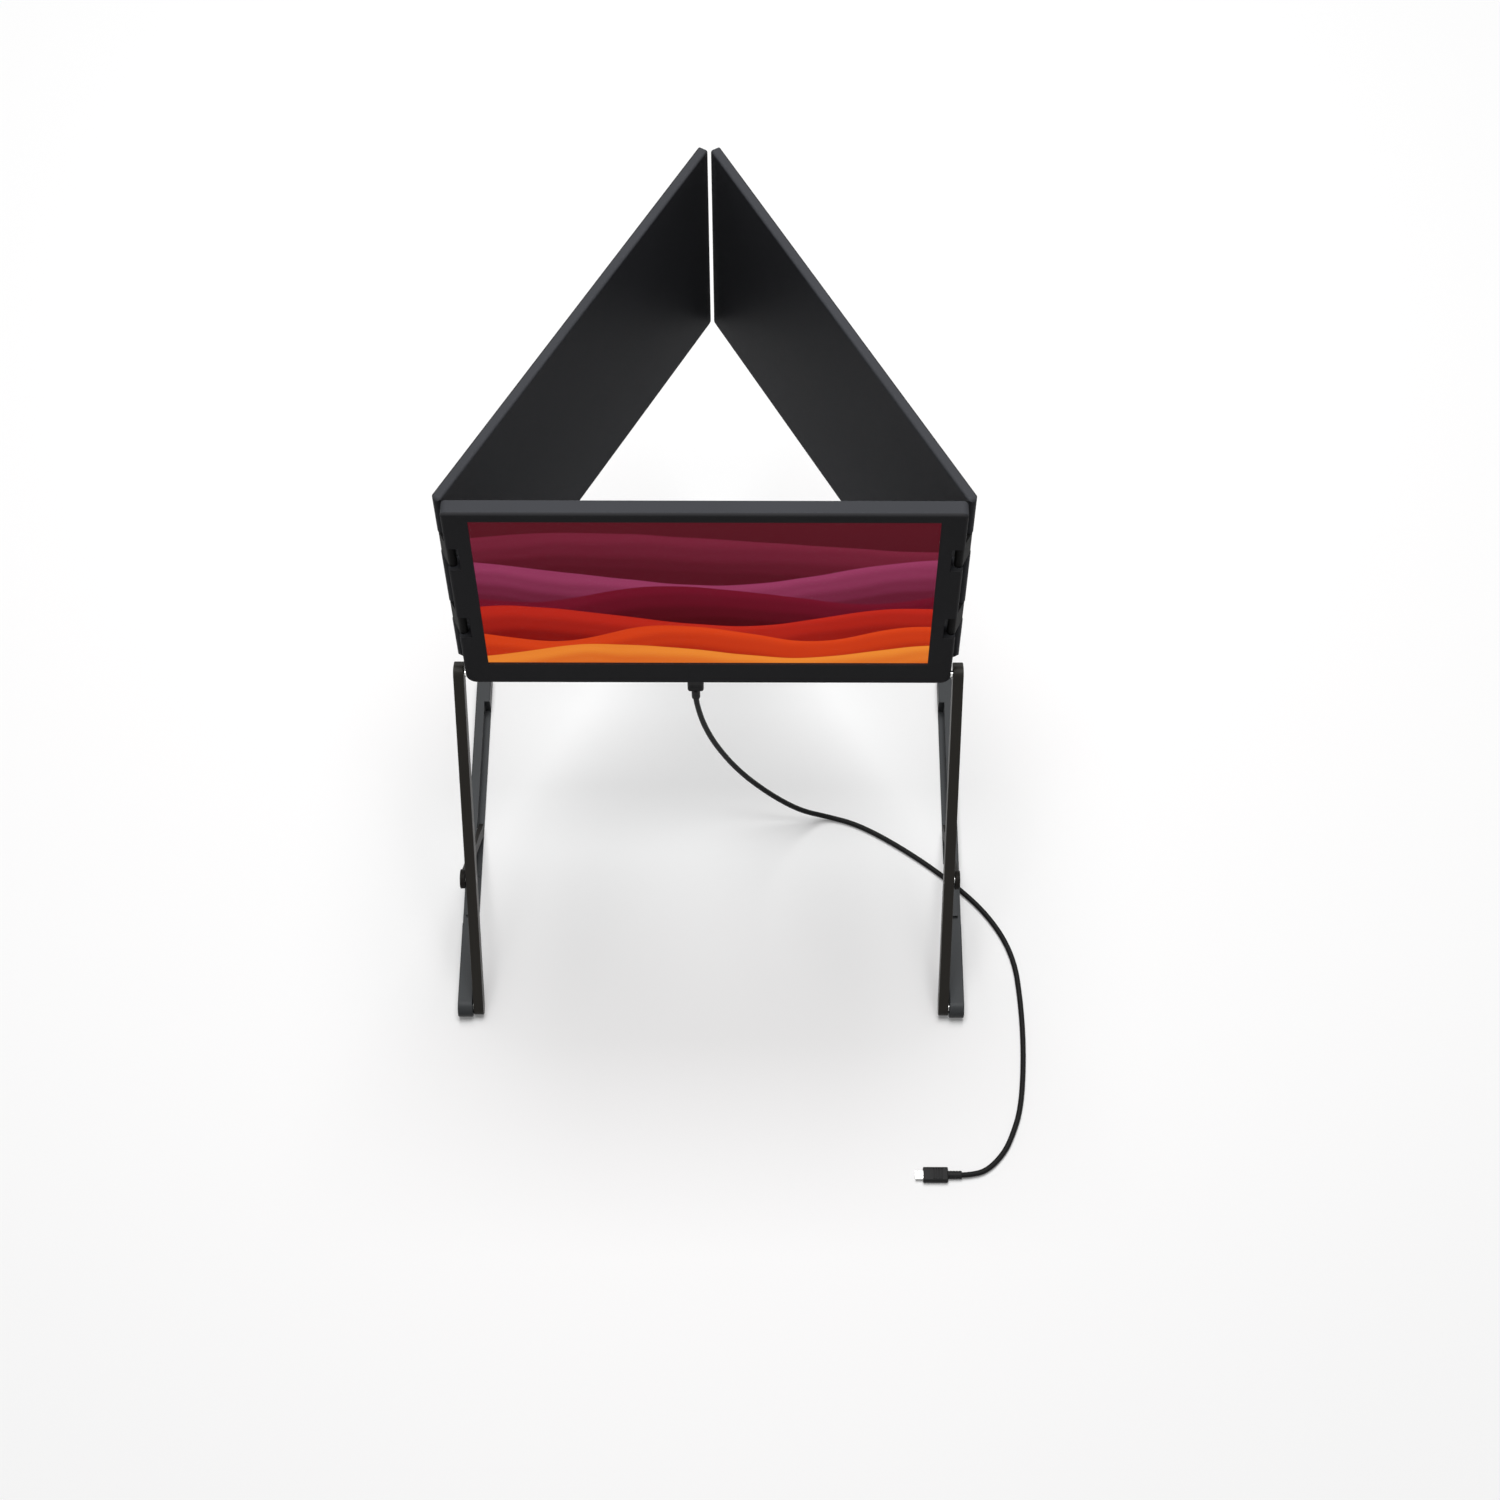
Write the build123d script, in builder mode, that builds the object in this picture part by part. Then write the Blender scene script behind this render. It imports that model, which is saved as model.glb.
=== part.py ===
from build123d import *
from math import asin, cos, degrees, pi, radians, sin, tan
import os

# A screen extender: a centre screen on two folding side legs, with a side screen on each edge.
# Millimetres. +X is the user's right, +Y away from the user, +Z up. The origin is on the table,
# midway between the legs and midway between the front of the feet and the back of the side screens.

os.makedirs("parts", exist_ok=True)

# Displays, 15.6 inch 16:9, the same in all three screens
view_width = 344.2
view_height = 193.6
cell_rim = 3.0
light_rim = 1.2
window_gap = 0.5

# Centre screen case
centre_border = 19.85
centre_chin = 28.7
centre_brow = 10.3
centre_thick = 13.0
centre_wall = 1.8
centre_bezel_thick = 2.0
centre_top_radius = 4.5
centre_bottom_radius = 9.0
centre_front_round = 2.6
centre_back_round = 0.6
centre_glass_thick = 1.6
centre_cell_thick = 1.2
centre_light_thick = 2.2

# Side screen case
side_border = 22.8
side_chin = 12.8
side_brow = 7.9
side_thick = 7.7
side_wall = 1.2
side_bezel_thick = 1.2
side_corner_radius = 3.5
side_front_round = 0.7
side_back_round = 2.0
side_above_case = 16.3
side_glass_thick = 0.9
side_cell_thick = 0.8
side_light_thick = 1.8
side_rail = 10.0
side_board_width = 92.0
side_board_height = 24.0
side_board_up = 39.6

# Double hinges between the screens
hinge_heights = {"lower": 81.0, "upper": 174.0}
hinge_pocket_height = 28.0
hinge_end_gap = 0.4
hinge_pocket_depth = 9.75
hinge_axis_inset = 3.25
hinge_reach = 13.06
hinge_centre_radius = 3.5
hinge_side_radius = 3.4
hinge_link_angle = 63.63
hinge_pin_radius = 1.2
hinge_pin_seat = 2.5
hinge_block_wall = 3.0
side_notch_gap = 0.5
side_fold_angle = 60.42

# Legs
arm_inset = 1.75
arm_thick = 8.5
arm_depth = 14.0
arm_length = 327.3
arm_angle = 61.45
arm_heel_round = 1.5
arm_edge_round = 0.8
pivot_above_case = 6.0
pivot_forward = 0.5
pivot_pin_radius = 2.0
pivot_head_radius = 3.6
pivot_head_thick = 1.4
head_gap = 0.15
running_gap = 0.05
seat_gap = 0.02
bush_radius = 3.9
bush_length = 14.0
bush_block_height = 12.0

foot_gap = 0.8
foot_width = 12.5
foot_height = 17.9
foot_length = 333.0
foot_edge_round = 0.9
pad_proud = 0.6
pad_thick = 1.6
pad_width = 7.0
pad_places = {"front": (32.0, 44.0), "rear": (311.5, 20.0)}
recess_depth = 5.0
recess_start = 75.0
recess_spare = 4.5
ledge_thick = 1.5
relief_start = 101.0
relief_end = 143.0
relief_height = 5.8
groove_spare_front = 10.0
groove_spare_rear = 2.5
groove_depth = 2.2
groove_below = 2.0
groove_above = 6.0
step_end = 127.0
step_width = 2.6
step_depth = 3.2
step_cross = 8.0
step_round = 2.4

strut_length = 158.3
strut_along_arm = 130.7
strut_gap = 0.8
strut_thick = 4.0
strut_head_radius = 8.0
strut_foot_radius = 5.5
strut_width = 10.0
strut_edge_round = 0.6
strut_rivet_thick = 1.0
slide_pin_radius = 1.5
slide_pin_length = 5.2
washer_radius = 3.1
washer_gap = 0.1

# Screws, boards, keys and the socket in the centre case
screw_row_pitch = 110.0
screw_row_up = 12.5
screw_side_inset = 7.65
screw_side_up = 128.0
screw_top_inset = 10.5
post_radius = 3.0
boss_length = 4.5
screw_radius = 1.1
screw_hole_radius = 1.3
screw_head_radius = 2.2
screw_head_thick = 1.1
screw_length = 8.2
screw_recess = 1.6
board_thick = 1.2
driver_board_width = 130.0
driver_board_height = 58.0
driver_board_up = 74.0
driver_post_inset = 5.0
driver_post_rise = 22.0
# Each chip on the driver board: its width, height, and place right of and above the board's middle
driver_chips = [(17.0, 17.0, -28.0, 0.0), (12.0, 9.0, 14.0, 8.0), (22.0, 7.0, 42.0, -12.0)]
chip_thick = 1.2
port_board_from = -32.0
port_board_to = 104.0
port_board_low = 3.6
port_board_high = 17.0
port_post_inset = 5.0
port_post_drop = 4.0
standoff_radius = 2.5
vent_count = 22
vent_pitch = 5.0
vent_width = 1.6
vent_length = 14.0
vent_up = 42.0
port_x = -10.5
socket_width = 9.0
socket_thick = 3.2
socket_length = 7.6
socket_wall = 0.25
socket_tongue = 0.7
key_places = {"power": 70.0, "menu": 88.0}
key_width = 8.0
key_thick = 3.6
key_proud = 0.7
key_travel = 0.5
key_gap = 0.15
key_flange = 1.0

# Cable with a plug at each end
cable_radius = 2.3
plug_width = 13.0
plug_thick = 6.2
plug_length = 17.5
plug_round = 2.2
plug_gap = 0.2
shell_width = 8.3
shell_thick = 2.4
shell_length = 6.4
shell_wall = 0.3
relief_radius = 3.5
relief_taper = 0.4
panel_relief_length = 13.0
far_plug_length = 20.7
far_relief_length = 11.4
far_plug_end = (177.0, -398.2)
# The cable leaves both strain reliefs straight, and its route between them bends at these points
panel_lead = 8.0
far_lead = 6.0
cable_bends = [
    (-5.4, -87.9, 211.0),
    (5.3, -81.8, 163.5),
    (24.1, -74.2, 108.2),
    (50.2, -68.4, 59.3),
    (76.8, -64.7, 24.0),
    (100.5, -58.8, 2.9),
    (128.6, -66.8, 2.35),
    (165.4, -89.3, 2.35),
    (204.8, -119.9, 2.35),
    (240.2, -155.5, 2.35),
    (261.0, -195.5, 2.35),
    (265.3, -241.8, 2.35),
    (265.6, -289.1, 2.35),
    (261.3, -336.9, 2.35),
    (252.8, -363.0, 2.35),
    (244.6, -379.4, 2.35),
    (230.0, -394.6, 2.6),
]


# Places worked out from the sizes above

centre_width = view_width + 2 * centre_border
centre_height = centre_chin + view_height + centre_brow
side_length = view_width + 2 * side_border
side_height = side_chin + view_height + side_brow
side_notch_depth = side_thick / 2 + hinge_centre_radius + side_notch_gap
foot_radius = foot_height / 2
pivot_z = pad_proud + foot_radius
foot_back = arm_length * cos(radians(arm_angle))
top_pivot_z = pivot_z + arm_length * sin(radians(arm_angle))
centre_bottom = top_pivot_z - pivot_above_case
centre_side = centre_width / 2
side_bottom = centre_bottom + side_above_case

fold_x = -cos(radians(side_fold_angle))
fold_y = sin(radians(side_fold_angle))
hinge_x = centre_side - hinge_axis_inset
link_x = hinge_reach * cos(radians(hinge_link_angle))
link_y = hinge_reach * sin(radians(hinge_link_angle))
side_reach = side_length - side_thick / 2

# The centre screen's mid plane, with the object's box centred on the origin
front_tip = -pivot_forward - foot_back - foot_radius
back_tip = link_y + (side_reach - side_front_round) * fold_y
back_tip += (side_thick / 2 - side_front_round) * -fold_x + side_front_round
screen_y = -(front_tip + back_tip) / 2
top_pivot_y = screen_y - pivot_forward
foot_pivot_y = top_pivot_y - foot_back

centre_axis = (hinge_x, screen_y)
side_axis = (hinge_x + link_x, screen_y + link_y)

arm_inner = centre_side + arm_inset
arm_outer = arm_inner + arm_thick
foot_inner = arm_outer + foot_gap
foot_outer = foot_inner + foot_width
strut_inner = arm_outer + strut_gap
screw_row = [(k * screw_row_pitch / 2, screw_row_up) for k in (-3, -1, 1, 3)]
screw_columns = [
    (s * (centre_side - screw_side_inset), h)
    for s in (-1, 1)
    for h in (screw_side_up, centre_height - screw_top_inset)
]
screw_places = screw_row + screw_columns
strut_drop = degrees(asin(strut_along_arm * sin(radians(arm_angle)) / strut_length))
# The slide pin's place along the foot bar, with the leg open and with it folded
slide_open = strut_along_arm * cos(radians(arm_angle)) + strut_length * cos(radians(strut_drop))
slide_folded = strut_along_arm + strut_length
groove_start = slide_open - slide_pin_radius - groove_spare_front
groove_end = slide_folded + slide_pin_radius + groove_spare_rear
recess_end = slide_folded + strut_foot_radius + recess_spare

centre_face = Plane(
    origin=(0, screen_y, centre_bottom + centre_height / 2), x_dir=(1, 0, 0), z_dir=(0, -1, 0)
)
side_middle = side_length / 2 - side_thick / 2
side_face = Plane(
    origin=(
        side_axis[0] + side_middle * fold_x,
        side_axis[1] + side_middle * fold_y,
        side_bottom + side_height / 2,
    ),
    x_dir=(fold_x, fold_y, 0),
    z_dir=(fold_y, -fold_x, 0),
)


def write(part, name):
    part.label = name
    export_step(part, f"parts/{name}.step")


def write_pair(piece, name):
    """Write the right-hand piece and its mirror image on the left."""
    write(piece.part, f"right_{name}")
    with BuildPart() as other:
        add(piece.part)
        mirror(about=Plane.YZ, mode=Mode.REPLACE)
    write(other.part, f"left_{name}")


def plan(z):
    return Plane.XY.offset(z)


def across(x, y, z, along=(0, 1, 0)):
    """A plane that faces +X, for what lies along a leg."""
    return Plane(origin=(x, y, z), x_dir=along, z_dir=(1, 0, 0))


def case_outline(width, height, top_radius, bottom_radius):
    """Draw a screen case's outline in the sketch being built."""
    Rectangle(width, height)
    fillet(vertices().group_by(Axis.Y)[-1], top_radius)
    fillet(vertices().group_by(Axis.Y)[0], bottom_radius)


def layer(face, front, thick, width, height, up):
    """A flat rectangular layer of a display, front at that depth before the case's mid plane."""
    with BuildPart() as sheet:
        with BuildSketch(face.offset(front - thick)):
            with Locations((0, up)):
                Rectangle(width, height)
        extrude(amount=thick)
    return sheet


# Centre screen

bezel_back = centre_thick / 2 - centre_bezel_thick
cover_inside = -centre_thick / 2 + centre_wall
view_up = centre_chin + view_height / 2 - centre_height / 2
cell_width = view_width + 2 * cell_rim
cell_height = view_height + 2 * cell_rim
light_width = cell_width + 2 * light_rim
hinge_ups = [h - centre_height / 2 for h in hinge_heights.values()]
screw_spots = [(x, h - centre_height / 2) for x, h in screw_places]

with BuildPart() as centre_envelope:
    with BuildSketch(centre_face.offset(-centre_thick / 2)):
        case_outline(centre_width, centre_height, centre_top_radius, centre_bottom_radius)
    extrude(amount=centre_thick)
    fillet(centre_envelope.faces().sort_by(Axis.Y)[0].outer_wire().edges(), centre_front_round)
    fillet(centre_envelope.faces().sort_by(Axis.Y)[-1].outer_wire().edges(), centre_back_round)

block_width = hinge_pocket_depth + 2.0 - centre_wall / 2
block_x = centre_side - centre_wall / 2 - block_width / 2
bush_end = centre_side - centre_wall - 0.3
bush_z = centre_bottom + pivot_above_case
socket_top = centre_bottom + centre_wall / 3 + socket_length
port_board_front = -socket_thick / 2
standoff_spots = [
    (x, h - centre_height / 2)
    for x in (port_board_from + port_post_inset, port_board_to - port_post_inset)
    for h in (port_board_high - port_post_drop,)
]
driver_spots = [
    (
        sx * (driver_board_width / 2 - driver_post_inset),
        driver_board_up + sz * driver_post_rise - centre_height / 2,
    )
    for sx in (-1, 1)
    for sz in (-1, 1)
]
driver_board_back = cover_inside + 2.4

with BuildPart() as centre_rear_cover:
    with BuildSketch(centre_face.offset(-centre_thick / 2)):
        case_outline(centre_width, centre_height, centre_top_radius, centre_bottom_radius)
    extrude(amount=centre_thick - centre_bezel_thick)
    with BuildSketch(centre_face.offset(cover_inside)):
        case_outline(
            centre_width - 2 * centre_wall,
            centre_height - 2 * centre_wall,
            centre_top_radius - centre_wall / 2,
            centre_bottom_radius - centre_wall,
        )
    extrude(amount=centre_thick, mode=Mode.SUBTRACT)
    # Solid blocks round the hinge pockets and the leg bushes, and the posts for screws and boards
    with BuildSketch(centre_face.offset(cover_inside - centre_wall / 2)):
        with Locations(*[(s * block_x, up) for s in (-1, 1) for up in hinge_ups]):
            Rectangle(block_width, hinge_pocket_height + 2 * hinge_block_wall)
    extrude(amount=bezel_back - cover_inside + centre_wall / 2)
    bush_block = bush_block_height + centre_wall / 2
    with BuildSketch(centre_face.offset(cover_inside - centre_wall / 2)):
        for s in (-1, 1):
            with Locations(
                (
                    s * (bush_end - bush_length / 2),
                    centre_wall / 2 + bush_block / 2 - centre_height / 2,
                )
            ):
                Rectangle(bush_length + 1.5, bush_block)
    extrude(amount=bezel_back - cover_inside + centre_wall / 2)
    with BuildSketch(centre_face.offset(cover_inside - centre_wall / 2)):
        with Locations(*screw_spots):
            Circle(post_radius)
    extrude(amount=bezel_back - boss_length - cover_inside + centre_wall / 2)
    with BuildSketch(centre_face.offset(cover_inside - centre_wall / 2)):
        with Locations(*standoff_spots):
            Circle(standoff_radius)
    extrude(amount=port_board_front - board_thick - cover_inside + centre_wall / 2)
    with BuildSketch(centre_face.offset(cover_inside - centre_wall / 2)):
        with Locations(*driver_spots):
            Circle(standoff_radius)
    extrude(amount=driver_board_back - cover_inside + centre_wall / 2)
    # Hinge pockets, open at the front, the side and the back
    with BuildSketch(centre_face.offset(-centre_thick)):
        with Locations(*[(s * centre_side, up) for s in (-1, 1) for up in hinge_ups]):
            Rectangle(2 * hinge_pocket_depth, hinge_pocket_height)
    extrude(amount=2 * centre_thick, mode=Mode.SUBTRACT)
    for h in hinge_heights.values():
        pin_low = centre_bottom + h - hinge_pocket_height / 2 - hinge_pin_seat
        with BuildSketch(plan(pin_low)):
            with Locations((hinge_x, screen_y), (-hinge_x, screen_y)):
                Circle(hinge_pin_radius + seat_gap)
        extrude(amount=hinge_pocket_height + 2 * hinge_pin_seat, mode=Mode.SUBTRACT)
    # Bores for the leg bushes and their pins
    for s in (-1, 1):
        with BuildSketch(across(s * (bush_end - bush_length - 2), top_pivot_y, bush_z)):
            Circle(bush_radius + seat_gap)
        extrude(amount=s * (bush_length + 2), mode=Mode.SUBTRACT)
        with BuildSketch(across(s * (bush_end - bush_length), top_pivot_y, bush_z)):
            Circle(pivot_pin_radius + head_gap)
        extrude(amount=s * (bush_length + 2 * centre_wall), mode=Mode.SUBTRACT)
    # Screw holes from the back
    with BuildSketch(centre_face.offset(-centre_thick / 2)):
        with Locations(*screw_spots):
            Circle(screw_hole_radius)
    extrude(amount=centre_thick, mode=Mode.SUBTRACT)
    with BuildSketch(centre_face.offset(-centre_thick / 2)):
        with Locations(*screw_spots):
            Circle(screw_head_radius + head_gap)
    extrude(amount=screw_recess, mode=Mode.SUBTRACT)
    # Socket and key holes in the lower edge, and vents in the back
    with BuildSketch(plan(centre_bottom)):
        with Locations((port_x, screen_y)):
            SlotOverall(socket_width + 0.1, socket_thick + 0.1)
        with Locations(*[(x, screen_y) for x in key_places.values()]):
            SlotOverall(key_width + 2 * key_gap, key_thick + 2 * key_gap)
    extrude(amount=centre_wall, mode=Mode.SUBTRACT)
    with BuildSketch(centre_face.offset(-centre_thick / 2)):
        with Locations((0, vent_up - centre_height / 2)):
            with GridLocations(vent_pitch, 1, vent_count, 1):
                SlotOverall(vent_length, vent_width, rotation=90)
    extrude(amount=centre_wall, mode=Mode.SUBTRACT)
    add(centre_envelope.part, mode=Mode.INTERSECT)
write(centre_rear_cover.part, "centre_rear_cover")

with BuildPart() as centre_bezel:
    with BuildSketch(centre_face.offset(bezel_back)):
        case_outline(centre_width, centre_height, centre_top_radius, centre_bottom_radius)
        with Locations((0, view_up)):
            Rectangle(
                view_width + 2 * window_gap, view_height + 2 * window_gap, mode=Mode.SUBTRACT
            )
    extrude(amount=centre_bezel_thick)
    with BuildSketch(centre_face.offset(bezel_back)):
        with Locations(*screw_spots):
            Circle(post_radius)
    extrude(amount=-boss_length)
    with BuildSketch(centre_face.offset(bezel_back + 0.6)):
        with Locations(*screw_spots):
            Circle(screw_radius + running_gap)
    extrude(amount=-boss_length - 0.6, mode=Mode.SUBTRACT)
    with BuildSketch(centre_face.offset(bezel_back)):
        with Locations(*[(s * centre_side, up) for s in (-1, 1) for up in hinge_ups]):
            Rectangle(2 * hinge_pocket_depth, hinge_pocket_height)
    extrude(amount=centre_bezel_thick, mode=Mode.SUBTRACT)
    add(centre_envelope.part, mode=Mode.INTERSECT)
write(centre_bezel.part, "centre_front_bezel")

centre_glass = layer(
    centre_face, bezel_back + centre_glass_thick, centre_glass_thick, view_width, view_height, view_up
)
write(centre_glass.part, "centre_display_glass")
centre_cell = layer(
    centre_face, bezel_back, centre_cell_thick, cell_width, cell_height, view_up
)
write(centre_cell.part, "centre_lcd_panel")
light_front = bezel_back - centre_cell_thick
centre_light = layer(
    centre_face, light_front, centre_light_thick, light_width, cell_height, view_up
)
write(centre_light.part, "centre_backlight")

with BuildPart() as driver_board:
    with BuildSketch(centre_face.offset(driver_board_back)):
        with Locations((0, driver_board_up - centre_height / 2)):
            Rectangle(driver_board_width, driver_board_height)
    extrude(amount=board_thick)
    with BuildSketch(centre_face.offset(driver_board_back + board_thick)):
        for width, height, right, above in driver_chips:
            with Locations((right, driver_board_up + above - centre_height / 2)):
                Rectangle(width, height)
    extrude(amount=chip_thick)
write(driver_board.part, "centre_driver_board")

port_board_height = port_board_high - port_board_low
port_board_up = (port_board_high + port_board_low) / 2 - centre_height / 2
key_stack = key_travel + 0.1
switch_low = centre_wall + key_flange + key_stack
with BuildPart() as port_board:
    with BuildSketch(centre_face.offset(port_board_front - board_thick)):
        with Locations(((port_board_from + port_board_to) / 2, port_board_up)):
            Rectangle(port_board_to - port_board_from, port_board_height)
        with Locations(*screw_spots[: len(screw_row)]):
            Circle(post_radius + 0.4, mode=Mode.SUBTRACT)
    extrude(amount=board_thick)
    # One side-acting switch over each key
    with BuildSketch(centre_face.offset(port_board_front)):
        with Locations(
            *[(x, switch_low + 1.5 - centre_height / 2) for x in key_places.values()]
        ):
            Rectangle(5.0, 3.0)
    extrude(amount=socket_thick)
write(port_board.part, "centre_port_board")

with BuildPart() as socket:
    with BuildSketch(plan(socket_top - socket_length)):
        with Locations((port_x, screen_y)):
            SlotOverall(socket_width, socket_thick)
    extrude(amount=socket_length)
    with BuildSketch(plan(socket_top - socket_length)):
        with Locations((port_x, screen_y)):
            SlotOverall(socket_width - 2 * socket_wall, socket_thick - 2 * socket_wall)
    extrude(amount=socket_length - 0.8, mode=Mode.SUBTRACT)
    with BuildSketch(plan(socket_top - 5.2)):
        with Locations((port_x, screen_y)):
            Rectangle(6.6, socket_tongue)
    extrude(amount=5.2)
write(socket.part, "usb_c_socket")

with BuildPart() as screws:
    with BuildSketch(centre_face.offset(-centre_thick / 2 + screw_recess)):
        with Locations(*screw_spots):
            Circle(screw_head_radius)
    extrude(amount=-screw_head_thick)
    with BuildSketch(centre_face.offset(-centre_thick / 2 + screw_recess)):
        with Locations(*screw_spots):
            Circle(screw_radius)
    extrude(amount=screw_length)
write(screws.part, "rear_cover_screws")

for key, x in key_places.items():
    with BuildPart() as cap:
        with BuildSketch(plan(centre_bottom - key_proud)):
            with Locations((x, screen_y)):
                SlotOverall(key_width, key_thick)
        extrude(amount=key_proud + centre_wall + key_gap)
        fillet(cap.faces().sort_by(Axis.Z)[0].edges(), 0.4)
        with BuildSketch(plan(centre_bottom + centre_wall + 0.02)):
            with Locations((x, screen_y)):
                SlotOverall(key_width + 2, key_thick + 2)
        extrude(amount=key_flange)
    write(cap.part, f"{key}_key")

with BuildPart() as bush:
    with BuildSketch(across(bush_end - bush_length, top_pivot_y, top_pivot_z)):
        Circle(bush_radius)
        Circle(pivot_pin_radius + running_gap, mode=Mode.SUBTRACT)
    extrude(amount=bush_length)
write_pair(bush, "leg_bush")

with BuildPart() as centre_pins:
    for h in hinge_heights.values():
        pin_low = centre_bottom + h - hinge_pocket_height / 2 - hinge_pin_seat
        with BuildSketch(plan(pin_low)):
            with Locations(centre_axis):
                Circle(hinge_pin_radius)
        extrude(amount=hinge_pocket_height + 2 * hinge_pin_seat)
write_pair(centre_pins, "centre_hinge_pins")

# Hinge links, which turn on a pin in the centre case and carry a pin of the side screen

for place, h in hinge_heights.items():
    link_low = centre_bottom + h - hinge_pocket_height / 2 + hinge_end_gap
    link_height = hinge_pocket_height - 2 * hinge_end_gap
    with BuildPart() as link:
        with BuildSketch(plan(link_low)):
            with Locations(centre_axis):
                Circle(hinge_centre_radius)
            with Locations(side_axis):
                Circle(hinge_side_radius)
            make_hull()
        extrude(amount=link_height)
        fillet(link.faces().sort_by(Axis.Z)[0].edges(), 0.5)
        fillet(link.faces().sort_by(Axis.Z)[-1].edges(), 0.5)
        with BuildSketch(plan(link_low)):
            with Locations(centre_axis, side_axis):
                Circle(hinge_pin_radius + running_gap)
        extrude(amount=link_height, mode=Mode.SUBTRACT)
    write_pair(link, f"{place}_hinge_link")

# Side screens

side_bezel_back = side_thick / 2 - side_bezel_thick
side_inside = -side_thick / 2 + side_wall
side_up = side_chin + view_height / 2 - side_height / 2
side_plan = Plane(
    origin=(side_axis[0], side_axis[1], side_bottom), x_dir=(fold_x, fold_y, 0), z_dir=(0, 0, 1)
)
notch_ups = [h - side_above_case - side_height / 2 for h in hinge_heights.values()]
side_display = Axis(side_face.origin, side_face.z_dir)

with BuildPart() as side_envelope:
    with BuildSketch(side_face.offset(-side_thick / 2)):
        case_outline(side_length, side_height, side_corner_radius, side_corner_radius)
    extrude(amount=side_thick)
    fillet(side_envelope.faces().sort_by(side_display)[0].outer_wire().edges(), side_back_round)
    fillet(side_envelope.faces().sort_by(side_display)[-1].outer_wire().edges(), side_front_round)
    with BuildSketch(side_plan):
        with Locations((side_reach / 2, 0)):
            Rectangle(side_reach, side_thick)
        Circle(side_thick / 2)
    extrude(amount=side_height, mode=Mode.INTERSECT)

with BuildPart() as side_cover:
    with BuildSketch(side_face.offset(-side_thick / 2)):
        Rectangle(side_length, side_height)
    extrude(amount=side_thick - side_bezel_thick)
    rim = side_wall + 0.4
    with BuildSketch(side_face.offset(side_inside)):
        with Locations(((side_rail - rim) / 2, 0)):
            Rectangle(side_length - side_rail - rim, side_height - 2 * rim)
    extrude(amount=side_thick, mode=Mode.SUBTRACT)
    with BuildSketch(side_face.offset(-side_thick)):
        with Locations(*[(-side_length / 2, up) for up in notch_ups]):
            Rectangle(2 * side_notch_depth, hinge_pocket_height)
    extrude(amount=2 * side_thick, mode=Mode.SUBTRACT)
    for h in hinge_heights.values():
        pin_low = centre_bottom + h - hinge_pocket_height / 2 - hinge_pin_seat
        with BuildSketch(plan(pin_low)):
            with Locations(side_axis):
                Circle(hinge_pin_radius + seat_gap)
        extrude(amount=hinge_pocket_height + 2 * hinge_pin_seat, mode=Mode.SUBTRACT)
    add(side_envelope.part, mode=Mode.INTERSECT)
write_pair(side_cover, "screen_rear_cover")

with BuildPart() as side_bezel:
    with BuildSketch(side_face.offset(side_bezel_back)):
        Rectangle(side_length, side_height)
        with Locations((0, side_up)):
            Rectangle(
                view_width + 2 * window_gap, view_height + 2 * window_gap, mode=Mode.SUBTRACT
            )
        with Locations(*[(-side_length / 2, up) for up in notch_ups]):
            Rectangle(2 * side_notch_depth, hinge_pocket_height, mode=Mode.SUBTRACT)
    extrude(amount=side_bezel_thick)
    add(side_envelope.part, mode=Mode.INTERSECT)
write_pair(side_bezel, "screen_front_bezel")

side_glass = layer(
    side_face, side_bezel_back + side_glass_thick, side_glass_thick, view_width, view_height, side_up
)
write_pair(side_glass, "screen_display_glass")
side_cell = layer(side_face, side_bezel_back, side_cell_thick, cell_width, cell_height, side_up)
write_pair(side_cell, "screen_lcd_panel")
side_light_front = side_bezel_back - side_cell_thick
side_light = layer(
    side_face, side_light_front, side_light_thick, light_width, cell_height, side_up
)
write_pair(side_light, "screen_backlight")
side_board_front = side_light_front - side_light_thick
side_board = layer(
    side_face,
    side_board_front,
    side_board_front - side_inside,
    side_board_width,
    side_board_height,
    side_board_up - side_height / 2,
)
write_pair(side_board, "screen_driver_board")

with BuildPart() as side_pins:
    for h in hinge_heights.values():
        pin_low = centre_bottom + h - hinge_pocket_height / 2 - hinge_pin_seat
        with BuildSketch(plan(pin_low)):
            with Locations(side_axis):
                Circle(hinge_pin_radius)
        extrude(amount=hinge_pocket_height + 2 * hinge_pin_seat)
write_pair(side_pins, "screen_hinge_pins")

# Legs: an arm from the centre screen down to the foot, and a strut that props it up

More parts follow.
